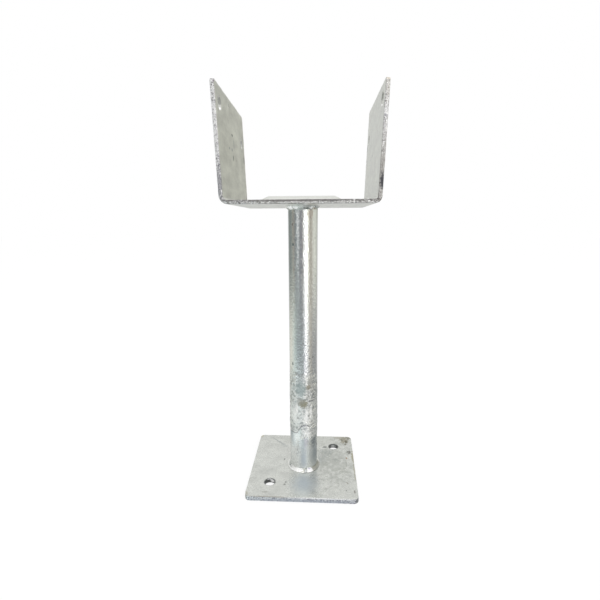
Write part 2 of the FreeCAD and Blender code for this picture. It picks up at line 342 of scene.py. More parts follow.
def makePipeWeld(name, node, pointing, share, seams, thins, ripples):  # seams: where one bead met the next
    low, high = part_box(node)
    leg = (high.z - low.z) * share
    face = low.z if pointing > 0 else high.z
    middle = (pipeRadius + leg / 2, 0, face + pointing * leg / 2)
    deselectAll()
    bpy.ops.mesh.primitive_plane_add(size=leg, location=middle, rotation=(math.pi / 2, 0, 0))
    piece = bpy.context.object
    piece.name = name
    settlePlace(piece)
    startEdit(piece)
    pick(piece, lambda corner: corner.x > middle[0] and (corner.z - middle[2]) * pointing > 0)
    pull = -pipeWeld["pull"] * leg
    bpy.ops.transform.translate(value=(pull, 0, pull * pointing))
    bpy.ops.mesh.bevel(offset=pipeWeld["rounding"] * leg, segments=4, affect="VERTICES")
    bpy.ops.mesh.select_all(action="SELECT")
    bpy.ops.mesh.delete(type="ONLY_FACE")
    bpy.ops.mesh.select_all(action="SELECT")
    bpy.ops.mesh.subdivide(number_cuts=1)
    bpy.ops.mesh.select_all(action="SELECT")
    bpy.ops.mesh.spin(steps=pipeWeld["steps"], angle=math.tau, center=(0, 0, face),
                      axis=(0, 0, 1), use_auto_merge=True)
    bpy.ops.mesh.select_all(action="SELECT")
    bpy.ops.mesh.remove_doubles(threshold=0.000001)
    bpy.ops.mesh.select_all(action="SELECT")
    bpy.ops.mesh.normals_make_consistent(inside=False)
    endEdit()

    def relief(place, normal):
        away = math.hypot(place.x, place.y) - pipeRadius
        rise = (place.z - face) * pointing
        grown = fadeIn(min(away, rise), 0.0, 0.0009)
        angle = aroundPipe(place)
        scallop = abs(math.sin(math.radians(angle) * ripples / 2 + away * 260))
        value = pipeWeld["lump"] * (lumps(place, 0.009, 5.0) - 0.5) + pipeWeld["ripple"] * scallop
        for seam in seams:
            value -= pipeWeld["seam"] * (1 - fadeIn(abs(angle - seam), 2, 9))
        for thin in thins:
            value -= pipeWeld["thinner"] * (1 - fadeIn(abs(angle - thin), 20, 60))
        return grown * min(0.0, value - pipeWeld["ripple"])

    pressRelief(piece, relief)
    # painted shade: the bead is darker where it meets the pipe, in the crease between the two
    toe = piece.data.attributes.new("toe", "FLOAT", "POINT")
    for corner in piece.data.vertices:
        away = math.hypot(corner.co.x, corner.co.y) - pipeRadius
        toe.data[corner.index].value = 0.8 * fadeIn(away, 0.0026, 0.0012)
    smooth(piece, 50)
    return piece


# Saddle: one sheet folded up into two ears, which lean out a little

saddlePlate = {
    "sheet": 0.004,
    "splay": 2.0,
    "leftFold": {"x": -0.07042, "inner": 0.0045},
    "rightFold": {"x": 0.07236, "inner": 0.0025},
    "foldSteps": 8,
    "topSlope": 1.2,       # how far each ear's top runs out of level
    "cornerRadius": 0.0024,
    "rimRounding": 0.0009,
    "cell": 0.003,
    "relief": 0.00023,
    "edgeLump": 0.00026,
    "faceWave": 0.00005,
}


def makeSaddle():
    sheet = saddlePlate["sheet"]
    depth = saddleHigh.y - saddleLow.y - 2 * saddlePlate["relief"]
    left, right = saddlePlate["leftFold"], saddlePlate["rightFold"]
    middle = saddleLow.z + sheet / 2
    deselectAll()
    bpy.ops.mesh.primitive_plane_add(size=1, location=((left["x"] + right["x"]) / 2, 0, middle))
    piece = bpy.context.object
    piece.name = "saddlePlate"
    piece.scale = (right["x"] - left["x"], depth, 1)
    settlePlace(piece)
    startEdit(piece)
    turn = math.radians(90 - saddlePlate["splay"])
    for fold, side in ((left, -1), (right, 1)):
        radius = fold["inner"] + sheet / 2
        pick(piece, lambda corner: (corner.x - fold["x"]) * side > -0.0001)
        bpy.ops.mesh.spin(steps=saddlePlate["foldSteps"], angle=turn, dupli=False,
                          center=(fold["x"], 0, middle + radius), axis=(0, side, 0))
        top = saddleHigh.z - middle
        lean = math.tan(math.radians(saddlePlate["splay"]))
        bpy.ops.mesh.extrude_region_move(TRANSFORM_OT_translate={"value": (side * top * lean, 0, top)})
    bpy.ops.mesh.select_all(action="SELECT")
    bpy.ops.mesh.normals_make_consistent(inside=False)
    endEdit()
    applyModifier(piece, "SOLIDIFY", thickness=sheet, offset=0.0, use_even_offset=True)

    startEdit(piece)
    slope = math.radians(saddlePlate["topSlope"])
    peak = saddleHigh.z - 0.0001
    for side in (-1, 1):
        pick(piece, lambda corner: corner.x * side > 0)
        tilt = Vector((0, -side * math.sin(slope), math.cos(slope)))
        bpy.ops.mesh.bisect(plane_co=(0, side * depth / 2, peak), plane_no=tilt, clear_outer=True,
                            use_fill=True)
    shape = bmesh.from_edit_mesh(piece.data)
    for edge in shape.edges:
        ends = [corner.co for corner in edge.verts]
        across = abs(ends[0].y - ends[1].y) < 0.0001 and abs(ends[0].z - ends[1].z) < 0.001
        edge.select = across and min(abs(end.y) for end in ends) > depth / 2 - 0.0001 \
            and min(end.z for end in ends) > peak - 0.02
    bmesh.update_edit_mesh(piece.data)
    bpy.ops.mesh.select_mode(type="EDGE")
    bpy.ops.mesh.bevel(offset=saddlePlate["cornerRadius"], segments=6, affect="EDGES")
    endEdit()

    for name in ("post_bolt_front", "post_bolt_rear"):
        bolt = mounts[name]
        drill(piece, bolt["pos_m"], (1, 0, 0), 2 * bolt["dims"]["r_mm"] / 1000, 0.3)
    drill(piece, (0, 0, middle), (0, 0, 1), 2 * ventRadius, 0.02)
    applyModifier(piece, "BEVEL", width=saddlePlate["rimRounding"], segments=3,
                  limit_method="ANGLE", angle_limit=math.radians(40))

    startEdit(piece)
    slicePiece(piece, 1, steps(-depth / 2, depth / 2, saddlePlate["cell"]))
    slicePiece(piece, 2, steps(saddleLow.z + 0.009, saddleHigh.z, saddlePlate["cell"]))
    slicePiece(piece, 0, steps(left["x"], right["x"], saddlePlate["cell"]))
    endEdit()

    def relief(place, normal):
        rim = fadeIn(abs(normal.y), 0.05, 0.6)
        if place.z > peak - 0.012:
            rim = max(rim, fadeIn(normal.z, 0.1, 0.6))
        wave = saddlePlate["faceWave"] * lumps(place, 0.012, 4.4)
        rough = lumps(place, 0.0032, 1.7) + 0.6 * lumps(place, 0.0012, 6.1)
        return wave + rim * saddlePlate["edgeLump"] * min(0.7, rough)

    pressRelief(piece, relief)

    def onEdge(centre, normal):
        if abs(centre.y) > depth / 2 - 0.0015:
            return fadeIn(abs(normal.y), 0.3, 0.9)
        return fadeIn(normal.z, 0.3, 0.9) if centre.z > peak - 0.006 else 0.0

    def inBore(centre, normal):
        if abs(centre.x) < left["inner"] - left["x"] - 0.004 or centre.z > peak - 0.006:
            return 0.0
        return fadeIn(max(abs(normal.y), abs(normal.z)), 0.5, 0.9) * (abs(centre.y) < depth / 2 - 0.002) \
            * (centre.z > 0.39)

    def onRim(centre, normal):
        if abs(centre.y) > depth / 2 - 0.0015:
            return fadeIn(abs(normal.y), 0.25, 0.45) * fadeIn(abs(normal.y), 0.92, 0.82)
        return 0.0

    markFaces(piece, "cutEdge", onEdge)
    markFaces(piece, "rim", onRim)
    markFaces(piece, "bore", inBore)
    smooth(piece, 50)
    return piece


# Seat plate, and the bead welded round its edge

seatPlate = {"cornerRadius": 0.003, "cell": 0.003, "rimRounding": 0.0008, "faceWave": 0.00006}


def makeSeatPlate():
    side = seatHigh.x - seatLow.x
    thickness = seatHigh.z - seatLow.z - seatPlate["faceWave"]
    piece = flatPlate("seatPlate", side, seatLow.z, thickness, seatPlate["cornerRadius"])
    applyModifier(piece, "BEVEL", width=seatPlate["rimRounding"], segments=3, limit_method="ANGLE",
                  angle_limit=math.radians(40))
    crossSlices(piece, side, seatPlate["cell"])
    pressRelief(piece, lambda place, normal: seatPlate["faceWave"] * lumps(place, 0.01, 8.8)
                if place.z > seatLow.z + thickness / 2 else 0.0)
    smooth(piece, 50)
    return piece


seatWeld = {"spread": 0.0036, "pull": 0.42, "rounding": 0.4, "cell": 0.0014, "ripple": 0.00003,
            "lump": 0.00018}


def makeSeatWeld():
    side = seatWeldHigh.x - seatWeldLow.x
    leg = seatWeldHigh.z - seatWeldLow.z
    deselectAll()
    bpy.ops.mesh.primitive_plane_add(size=side, location=(0, 0, seatWeldLow.z))
    piece = bpy.context.object
    piece.name = "seatWeld"
    settlePlace(piece)
    startEdit(piece)
    bpy.ops.mesh.select_all(action="SELECT")
    bpy.ops.mesh.bevel(offset=seatPlate["cornerRadius"] + leg, segments=8, affect="VERTICES")
    bpy.ops.mesh.select_all(action="SELECT")
    bpy.ops.mesh.inset(thickness=leg)
    bpy.ops.mesh.delete(type="ONLY_FACE")
    bpy.ops.mesh.select_all(action="SELECT")
    bpy.ops.mesh.extrude_region_move(TRANSFORM_OT_translate={"value": (0, 0, leg)})
    bpy.ops.mesh.select_all(action="SELECT")
    bpy.ops.mesh.normals_make_consistent(inside=False)
    inner = side / 2 - leg
    reach = inner * math.sqrt(2)

    def outerTop(corner):
        out = max(abs(corner.x), abs(corner.y))
        return corner.z > seatWeldLow.z + leg / 2 and (out > inner + 0.001
                                                       or math.hypot(corner.x, corner.y) > reach)

    def outerFoot(corner):
        return corner.z < seatWeldLow.z + leg / 2 and (max(abs(corner.x), abs(corner.y)) > inner + 0.001
                                                       or math.hypot(corner.x, corner.y) > reach)

    pick(piece, outerFoot)
    grow = 1 + 2 * seatWeld["spread"] / side
    bpy.ops.transform.resize(value=(grow, grow, 1), center_override=(0, 0, 0))
    bpy.ops.mesh.select_all(action="DESELECT")
    pick(piece, outerTop)
    pull = seatWeld["pull"] * leg
    shrink = 1 - (2 * pull - seatWeld["spread"]) / side
    bpy.ops.transform.resize(value=(shrink, shrink, 1), center_override=(0, 0, 0))
    bpy.ops.transform.translate(value=(0, 0, -pull))
    bpy.ops.mesh.select_mode(type="EDGE")
    bpy.ops.mesh.bevel(offset=seatWeld["rounding"] * leg, segments=3, affect="EDGES")
    bpy.ops.mesh.select_mode(type="VERT")
    endEdit()
    crossSlices(piece, side, seatWeld["cell"])

    def relief(place, normal):
        away = max(abs(place.x), abs(place.y)) - inner
        shown = fadeIn(min(away, place.z - seatWeldLow.z), 0.0, 0.0008)
        along = place.x if abs(place.y) > abs(place.x) else place.y
        scallop = abs(math.sin(along * 900 + away * 300))
        return shown * min(0.0, seatWeld["lump"] * (lumps(place, 0.008, 2.9) - 0.4)
                           + seatWeld["ripple"] * (scallop - 1))

    pressRelief(piece, relief)
    smooth(piece, 50)
    return piece


# Shader helpers

def join(tree, value, socket):  # value is another node's output, or a constant
    if isinstance(value, bpy.types.NodeSocket):
        tree.links.new(value, socket)
    else:
        socket.default_value = value


def addNode(tree, kind, inputs=None, **settings):
    made = tree.nodes.new(kind)
    made.location = (190 * (len(tree.nodes) % 12), -260 * (len(tree.nodes) // 12))
    for key, value in settings.items():
        setattr(made, key, value)
    for key, value in (inputs or {}).items():
        join(tree, value, made.inputs[key])
    return made


def calc(tree, operation, first, second=0.0, clamp=False):
    return addNode(tree, "ShaderNodeMath", {0: first, 1: second}, operation=operation,
                   use_clamp=clamp).outputs[0]


def fade(tree, value, low, high):  # 0 at low, 1 at high, eased between
    return addNode(tree, "ShaderNodeMapRange", {0: value, 1: low, 2: high},
                   interpolation_type="SMOOTHSTEP").outputs[0]


def mixColours(tree, factor, first, second, blend="MIX"):
    return addNode(tree, "ShaderNodeMix", {0: factor, 6: first, 7: second}, data_type="RGBA",
                   blend_type=blend).outputs[2]


def noiseAt(tree, vector, scale, detail=2.0, roughness=0.5):
    return addNode(tree, "ShaderNodeTexNoise", {"Vector": vector, "Scale": scale, "Detail": detail,
                                                "Roughness": roughness}).outputs[0]


def makeGroup(name, inputs, outputs):  # an empty node group with named sockets
    tree = bpy.data.node_groups.new(name, "ShaderNodeTree")
    for label, kind, value in inputs:
        socket = tree.interface.new_socket(name=label, in_out="INPUT", socket_type="NodeSocket" + kind)
        if value is not None:
            socket.default_value = value
    for label, kind in outputs:
        tree.interface.new_socket(name=label, in_out="OUTPUT", socket_type="NodeSocket" + kind)
    start = addNode(tree, "NodeGroupInput").outputs
    end = addNode(tree, "NodeGroupOutput").inputs
    return tree, start, end


# Effects shared by the zinc materials

def makeZincMottle():
    tree, start, end = makeGroup(
        "zincMottle",
        [("Vector", "Vector", None), ("Cloud Scale", "Float", 60.0), ("Cloud Strength", "Float", 0.1),
         ("Grain Scale", "Float", 900.0), ("Grain Strength", "Float", 0.05), ("Seed", "Float", 0.0)],
        [("Shade", "Float"), ("Height", "Float"), ("Rough Shift", "Float")])
    moved = addNode(tree, "ShaderNodeVectorMath", {0: start["Vector"], 1: start["Seed"]},
                    operation="ADD").outputs[0]
    cloud = calc(tree, "SUBTRACT", noiseAt(tree, moved, start["Cloud Scale"], 3.0, 0.6), 0.5)
    grain = calc(tree, "SUBTRACT", noiseAt(tree, moved, start["Grain Scale"], 2.0, 0.6), 0.5)
    shade = calc(tree, "ADD", calc(tree, "MULTIPLY", cloud, start["Cloud Strength"]),
                 calc(tree, "MULTIPLY", grain, start["Grain Strength"]))
    join(tree, calc(tree, "ADD", shade, 1.0), end["Shade"])
    join(tree, grain, end["Height"])
    join(tree, cloud, end["Rough Shift"])
    return tree


def makeStainAndLightSpot():
    tree, start, end = makeGroup(
        "stainAndLightSpot",
        [("Vector", "Vector", None), ("Centre", "Vector", (0, 0, 0)),
         ("Size", "Vector", (0.002, 0.002, 0.002)), ("Turn", "Float", 0.0),
         ("Ragged", "Float", 0.5), ("Scale", "Float", 700.0), ("Core", "Float", 0.6)],
        [("Mask", "Float")])
    offset = addNode(tree, "ShaderNodeVectorMath", {0: start["Vector"], 1: start["Centre"]},
                     operation="SUBTRACT").outputs[0]
    turned = addNode(tree, "ShaderNodeVectorRotate", {"Vector": offset, "Angle": start["Turn"]},
                     rotation_type="Z_AXIS").outputs[0]
    share = addNode(tree, "ShaderNodeVectorMath", {0: turned, 1: start["Size"]},
                    operation="DIVIDE").outputs[0]
    distance = addNode(tree, "ShaderNodeVectorMath", {0: share}, operation="LENGTH").outputs["Value"]
    wander = calc(tree, "MULTIPLY", calc(tree, "SUBTRACT", noiseAt(tree, start["Vector"],
                                                                  start["Scale"], 3.0), 0.5),
                  calc(tree, "MULTIPLY", start["Ragged"], 2.0))
    join(tree, fade(tree, calc(tree, "ADD", distance, wander), 1.15, start["Core"]), end["Mask"])
    return tree


def makeCutEdgeDrossAndGlints():
    tree, start, end = makeGroup(
        "cutEdgeDrossAndGlints",
        [("Vector", "Vector", None), ("Scale", "Float", 560.0), ("Seed", "Float", 0.0)],
        [("Dark", "Float"), ("Bright", "Float"), ("Height", "Float")])
    moved = addNode(tree, "ShaderNodeVectorMath", {0: start["Vector"], 1: start["Seed"]},
                    operation="ADD").outputs[0]
    patches = noiseAt(tree, moved, start["Scale"], 3.0, 0.65)
    glints = noiseAt(tree, moved, calc(tree, "MULTIPLY", start["Scale"], 1.6), 2.0, 0.6)
    join(tree, fade(tree, patches, 0.49, 0.59), end["Dark"])
    join(tree, fade(tree, glints, 0.52, 0.62), end["Bright"])
    join(tree, patches, end["Height"])
    return tree


zincMottle = makeZincMottle()
stainAndLightSpot = makeStainAndLightSpot()
cutEdgeDrossAndGlints = makeCutEdgeDrossAndGlints()


zinc = {"crustHold": 0.75, "flakesFrom": 0.36, "flakesTo": 0.54, "boreRough": 0.25, "boreMatt": 0.7,
        "glint": (0.95, 0.95, 0.96, 1), "glintSmooth": 0.15, "rimFrom": 0.36, "rimTo": 0.48,
        "edgeHeight": 0.0006, "smoothest": 0.05}


usualStainAndLight = {"turn": 0, "core": 0.6, "ragged": 0.6, "scale": 600.0, "rough": 0.15, "matt": 0.3}


def readMask(tree, name):  # a value from 0 to 1 that the piece itself carries
    return addNode(tree, "ShaderNodeAttribute", attribute_name=name).outputs["Fac"]


def tintCoat(tree, coat, mask, colour):
    coat["colour"] = mixColours(tree, mask, coat["colour"], (*colour, 1))


def raiseCoat(tree, coat, key, mask, amount):
    coat[key] = calc(tree, "ADD", coat[key], calc(tree, "MULTIPLY", mask, amount))


def dullCoat(tree, coat, mask, amount):  # less metallic under the mask
    coat["metal"] = calc(tree, "SUBTRACT", coat["metal"], calc(tree, "MULTIPLY", mask, amount), True)


def mottledCoat(tree, spot, look):
    where = spot
    if look.get("grainAlong") is not None:
        where = addNode(tree, "ShaderNodeMapping",
                        {"Vector": spot, "Scale": look["grainAlong"]}).outputs[0]
    mottle = addNode(tree, "ShaderNodeGroup", node_tree=zincMottle)
    for label in ("Cloud Scale", "Cloud Strength", "Grain Scale", "Grain Strength", "Seed"):
        mottle.inputs[label].default_value = look[label]
    join(tree, where, mottle.inputs["Vector"])
    shade = addNode(tree, "ShaderNodeCombineColor", {i: mottle.outputs["Shade"] for i in range(3)})
    shift = calc(tree, "MULTIPLY", mottle.outputs["Rough Shift"], look["roughShift"])
    return {"colour": mixColours(tree, 1.0, (*look["colour"], 1), shade.outputs[0], "MULTIPLY"),
            "rough": calc(tree, "ADD", shift, look["roughness"]),
            "height": calc(tree, "MULTIPLY", mottle.outputs["Height"], look["grainHeight"]),
            "metal": look["metallic"]}


def addCrust(tree, spot, look, coat):
    crust = readMask(tree, "crust")
    flakes = noiseAt(tree, spot, look["crustScale"], 4.0, 0.6)
    pale = mixColours(tree, fade(tree, flakes, zinc["flakesFrom"], zinc["flakesTo"]),
                      (*look["crustShadow"], 1), (*look["crustColour"], 1))
    hold = calc(tree, "MULTIPLY", crust, zinc["crustHold"])
    coat["colour"] = mixColours(tree, hold, coat["colour"], pale)
    raiseCoat(tree, coat, "height", crust, calc(tree, "MULTIPLY", flakes, look["crustHeight"]))
    # lip: painted shade along the step where the run of zinc stopped
    tintCoat(tree, coat, readMask(tree, "lip"), look["lipColour"])
    raiseCoat(tree, coat, "rough", crust, look["crustRough"])
    dullCoat(tree, coat, crust, look["crustMatt"])


def addBore(tree, look, coat):  # the walls of the drilled holes; on the base plate their near-black colour is painted shade
    bore = readMask(tree, "bore")
    tintCoat(tree, coat, bore, look["boreColour"])
    raiseCoat(tree, coat, "rough", bore, zinc["boreRough"])
    dullCoat(tree, coat, bore, zinc["boreMatt"])


# cut edges: dark dross specks, painted glints of near-white zinc, and painted shade along the rounded rims
def addCutEdge(tree, spot, look, coat):
    dross = addNode(tree, "ShaderNodeGroup", node_tree=cutEdgeDrossAndGlints)
    join(tree, spot, dross.inputs["Vector"])
    dross.inputs["Seed"].default_value = look["Seed"]
    lumpy, glints = dross.outputs["Height"], dross.outputs["Bright"]
    dark = mixColours(tree, dross.outputs["Dark"], (*look["edgeColour"], 1), (*look["edgeDark"], 1))
    rim = readMask(tree, "rim")
    rimMask = calc(tree, "MULTIPLY", rim, fade(tree, lumpy, zinc["rimFrom"], zinc["rimTo"]))
    drossGlintsAndRimShade = mixColours(tree, rimMask, mixColours(tree, glints, dark, zinc["glint"]),
                        (*look["edgeDark"], 1))
    edge = calc(tree, "MAXIMUM", readMask(tree, "cutEdge"), rim)
    coat["colour"] = mixColours(tree, edge, coat["colour"], drossGlintsAndRimShade)
    smoother = calc(tree, "SUBTRACT", look["edgeRough"],
                    calc(tree, "MULTIPLY", glints, zinc["glintSmooth"]))
    coat["rough"] = addNode(tree, "ShaderNodeMix", {0: edge, 2: coat["rough"], 3: smoother}).outputs[0]
    raiseCoat(tree, coat, "height", edge, calc(tree, "MULTIPLY", lumpy, zinc["edgeHeight"]))


# lays one mark on the coat; marks are real stains and specks, and also painted highlights, painted
# reflections and painted shade
def addStainAndLight(tree, spot, stainAndLightMark, coat):
    stainAndLightMark = {**usualStainAndLight, **stainAndLightMark}
    group = addNode(tree, "ShaderNodeGroup", node_tree=stainAndLightSpot)
    join(tree, spot, group.inputs["Vector"])
    group.inputs["Centre"].default_value = stainAndLightMark["at"]
    group.inputs["Turn"].default_value = math.radians(stainAndLightMark["turn"])
    for key in ("size", "core", "ragged", "scale"):
        group.inputs[key.capitalize()].default_value = stainAndLightMark[key]
    mask = calc(tree, "MULTIPLY", group.outputs["Mask"], stainAndLightMark["strength"])
    tintCoat(tree, coat, mask, stainAndLightMark["colour"])
    raiseCoat(tree, coat, "rough", mask, stainAndLightMark["rough"])
    dullCoat(tree, coat, mask, stainAndLightMark["matt"])


def makeZinc(name, look, marks):
    material = bpy.data.materials.new(name)
    material.use_nodes = True
    tree = material.node_tree
    surface = tree.nodes["Principled BSDF"].inputs
    spot = addNode(tree, "ShaderNodeTexCoord").outputs["Object"]
    coat = mottledCoat(tree, spot, look)
    if look.get("crustColour"):
        addCrust(tree, spot, look, coat)
    if look.get("toeColour"):
        tintCoat(tree, coat, readMask(tree, "toe"), look["toeColour"])
    if look.get("boreColour"):
        addBore(tree, look, coat)
    if look.get("edgeDark"):
        addCutEdge(tree, spot, look, coat)
    for stainAndLightMark in marks:
        addStainAndLight(tree, spot, stainAndLightMark, coat)
    bump = addNode(tree, "ShaderNodeBump", {"Height": coat["height"], "Distance": 1.0, "Strength": 1.0})
    join(tree, coat["colour"], surface["Base Color"])
    join(tree, calc(tree, "MAXIMUM", coat["rough"], zinc["smoothest"]), surface["Roughness"])
    join(tree, coat["metal"], surface["Metallic"])
    join(tree, bump.outputs[0], surface["Normal"])
    return material


# Looks of each material. Marks are places in metres in the part's own frame

sheetLook = {
    "colour": (0.735, 0.745, 0.695), "metallic": 0.9, "roughness": 0.34, "roughShift": 0.30,
    "Cloud Scale": 95.0, "Cloud Strength": 0.80, "Grain Scale": 700.0, "Grain Strength": 0.22,
    "Seed": 3.0, "grainHeight": 0.00012, "grainAlong": (1, 0.42, 1),
    "edgeColour": (0.68, 0.68, 0.67), "edgeDark": (0.15, 0.14, 0.145), "edgeRough": 0.30,
    "boreColour": (0.60, 0.60, 0.57),
}

plateLook = {
    "colour": (0.715, 0.73, 0.69), "metallic": 0.9, "roughness": 0.26, "roughShift": 0.22,
    "Cloud Scale": 80.0, "Cloud Strength": 0.52, "Grain Scale": 520.0, "Grain Strength": 0.48,
    "Seed": 8.0, "grainHeight": 0.00014, "edgeColour": (0.60, 0.61, 0.62),
    # boreColour here is painted shade on the walls of the plate's holes
    "edgeDark": (0.15, 0.14, 0.19), "edgeRough": 0.32, "boreColour": (0.10, 0.105, 0.10),
}

pipeLook = {
    "colour": (0.72, 0.735, 0.73), "metallic": 0.95, "roughness": 0.125, "roughShift": 0.12,
    "Cloud Scale": 90.0, "Cloud Strength": 0.20, "Grain Scale": 560.0, "Grain Strength": 0.40,
    "Seed": 5.0, "grainHeight": 0.0003, "grainAlong": (1, 1, 0.7),
    "crustColour": (0.96, 0.97, 0.94), "crustShadow": (0.38, 0.40, 0.39), "crustScale": 290.0,
    "crustHeight": 0.0015, "crustRough": 0.20, "crustMatt": 0.12, "lipColour": (0.34, 0.35, 0.38),
}

weldLook = {
    "colour": (0.84, 0.845, 0.80), "metallic": 0.95, "roughness": 0.20, "roughShift": 0.15,
    "Cloud Scale": 160.0, "Cloud Strength": 0.30, "Grain Scale": 1200.0, "Grain Strength": 0.10,
    "Seed": 2.0, "grainHeight": 0.00006, "toeColour": (0.42, 0.44, 0.42),
}

darkSpeck = (0.16, 0.17, 0.16)
greyStreak = (0.34, 0.37, 0.38)
brownStain = (0.30, 0.27, 0.19)
paleStreak = (0.92, 0.92, 0.87)


def mark(at, size, colour, strength, **more):
    return {"at": at, "size": size, "colour": colour, "strength": strength, **more}


plateTop = baseHigh.z
broad = {"core": 0.0, "matt": 0}  # a soft change of tone over a broad field, as metallic as the zinc round it; several are painted reflections and painted shade


def onPlate(x, y, wide, deep, thick, colour, strength, **more):
    return mark((x, y, plateTop), (wide, deep, thick), colour, strength, **more)


plateMarks = [
    onPlate(-0.04, 0.051, 0.018, 0.0014, 0.004, greyStreak, 0.6, turn=44, ragged=0.5, scale=420,
            core=0.2),
    onPlate(-0.029, 0.04, 0.011, 0.0045, 0.004, greyStreak, 0.4, turn=44, ragged=1.0, scale=420,
            core=0.0),
    onPlate(-0.0256, 0.0068, 0.0011, 0.0018, 0.003, darkSpeck, 0.8),
    onPlate(-0.02, -0.0385, 0.0012, 0.0012, 0.003, darkSpeck, 0.85, ragged=0.3),
    onPlate(-0.021, -0.0425, 0.0016, 0.0012, 0.003, darkSpeck, 0.85, ragged=0.3),
    onPlate(0.0545, 0.056, 0.006, 0.009, 0.004, brownStain, 0.85, ragged=1.7, scale=650),
    onPlate(0.0515, 0.056, 0.0018, 0.0024, 0.003, (0.14, 0.13, 0.1), 0.9, ragged=0.9),
    onPlate(0.0575, 0.0515, 0.0023, 0.004, 0.003, (0.15, 0.14, 0.1), 0.9, ragged=0.9),
    onPlate(0.056, 0.045, 0.0016, 0.0022, 0.003, (0.18, 0.17, 0.12), 0.85, ragged=0.9),
    onPlate(0.0605, 0.059, 0.002, 0.0018, 0.003, (0.14, 0.13, 0.1), 0.85, ragged=0.9),
    onPlate(0.048, 0.061, 0.008, 0.004, 0.004, brownStain, 0.45, ragged=1.4, scale=500),
    onPlate(0.0592, 0.0266, 0.0034, 0.005, 0.003, (0.18, 0.18, 0.16), 0.9, ragged=1.1),
    onPlate(0.0556, 0.0128, 0.0013, 0.0018, 0.003, (0.36, 0.17, 0.06), 0.85, ragged=0.5),
    onPlate(0.0545, 0.002, 0.001, 0.011, 0.003, (0.4, 0.41, 0.36), 0.5, ragged=0.9),
    onPlate(0.049, -0.013, 0.0085, 0.006, 0.004, (0.42, 0.43, 0.38), 0.5, ragged=1.5, scale=480,
            core=0.0),
    onPlate(0.0537, -0.0372, 0.001, 0.0026, 0.003, (0.3, 0.28, 0.24), 0.7, turn=-30),
    onPlate(0.0516, -0.0504, 0.0009, 0.0011, 0.003, darkSpeck, 0.6),
    onPlate(0.03, 0.024, 0.0125, 0.011, 0.004, (0.33, 0.36, 0.35), 0.75, ragged=1.5, scale=420, core=0.0),
    onPlate(0.0276, 0.037, 0.0036, 0.0024, 0.003, (0.2, 0.22, 0.21), 0.9, ragged=1.0),
    onPlate(0.041, 0.009, 0.0044, 0.004, 0.003, (0.28, 0.31, 0.3), 0.8, ragged=1.2, scale=600, core=0.2),
    onPlate(0.0235, 0.01, 0.008, 0.016, 0.004, (0.38, 0.41, 0.4), 0.65, ragged=1.3, scale=420, core=0.0),
    onPlate(0.027, -0.002, 0.006, 0.006, 0.004, (0.38, 0.4, 0.34), 0.45, ragged=1.3, scale=420, core=0.0),
    onPlate(-0.042, -0.057, 0.0034, 0.0016, 0.003, (0.3, 0.3, 0.27), 0.5, ragged=1.0),
    onPlate(0.064, 0.018, 0.0022, 0.013, 0.006, (0.36, 0.32, 0.2), 0.75, ragged=1.2, scale=300),
    onPlate(0.064, -0.012, 0.0014, 0.02, 0.006, (0.38, 0.35, 0.24), 0.55, ragged=1.2, scale=300),
    onPlate(0.061, -0.052, 0.0012, 0.003, 0.005, (0.22, 0.21, 0.19), 0.75, ragged=0.8),
    onPlate(0.0625, 0.0625, 0.006, 0.004, 0.006, (0.2, 0.19, 0.13), 0.75, ragged=0.9, scale=400),
    onPlate(-0.064, 0.0625, 0.003, 0.004, 0.006, (0.42, 0.38, 0.22), 0.75, ragged=0.7, scale=400),
    onPlate(0.042, 0.0655, 0.018, 0.002, 0.006, (0.33, 0.33, 0.27), 0.6, ragged=1.0, scale=300),
    onPlate(-0.064, -0.06, 0.0025, 0.004, 0.006, (0.4, 0.38, 0.3), 0.6, ragged=0.8, scale=400),
    # painted reflection: a bluish patch on the plate's top in front of the pipe, where the pipe is
    # mirrored
    onPlate(0.0015, -0.04, 0.02, 0.026, 0.004, (0.48, 0.53, 0.57), 0.75, ragged=0.3, **broad),
    onPlate(0.04, 0.005, 0.03, 0.055, 0.004, (0.46, 0.48, 0.44), 0.6, ragged=1.8, scale=240, **broad),
    onPlate(0.0, 0.056, 0.064, 0.02, 0.004, (0.5, 0.52, 0.47), 0.28, ragged=0.6, scale=150, **broad),
    # painted shade: dark rings round and just inside the mouths of the anchor holes
    onPlate(-0.039, -0.039, 0.0067, 0.0067, 0.003, (0.2, 0.21, 0.21), 0.75, ragged=0.15, core=1.0),
    onPlate(0.039, 0.039, 0.0067, 0.0067, 0.003, (0.2, 0.21, 0.21), 0.75, ragged=0.15, core=1.0),
    # front edge: a darker, bluer lower half, and a white strip along its top that is a painted highlight
    mark((0.0, -0.065, 0.0016), (0.07, 0.002, 0.0018), (0.36, 0.39, 0.46), 0.6, ragged=0.6),
    mark((0.02, -0.065, 0.0052), (0.048, 0.0013, 0.0009), (0.98, 0.98, 0.99), 0.65, ragged=1.5,
         scale=900, matt=0.4),
    mark((-0.036, -0.0648, 0.0056), (0.026, 0.0014, 0.0007), (0.34, 0.32, 0.28), 0.65, ragged=1.2),
    # painted light and painted shade inside the anchor holes: pale and dark wedges on their walls
    mark((-0.0366, -0.0338, plateTop - 0.003), (0.0032, 0.0034, 0.002), (0.9, 0.9, 0.89), 0.9,
         ragged=0.4, matt=0.6),
    mark((-0.0405, -0.0325, plateTop - 0.0012), (0.003, 0.002, 0.0007), (0.8, 0.8, 0.8), 0.8, matt=0.5),
    mark((-0.042, -0.033, plateTop - 0.0036), (0.004, 0.003, 0.0014), (0.07, 0.07, 0.07), 0.85,
         ragged=0.4),
    mark((0.039, 0.0455, plateTop - 0.0034), (0.0036, 0.003, 0.0014), (0.55, 0.57, 0.56), 0.85,
         ragged=0.4, matt=0.6),
    mark((0.039, 0.0455, plateTop - 0.0056), (0.006, 0.003, 0.001), (0.06, 0.06, 0.06), 0.85, ragged=0.4),
]

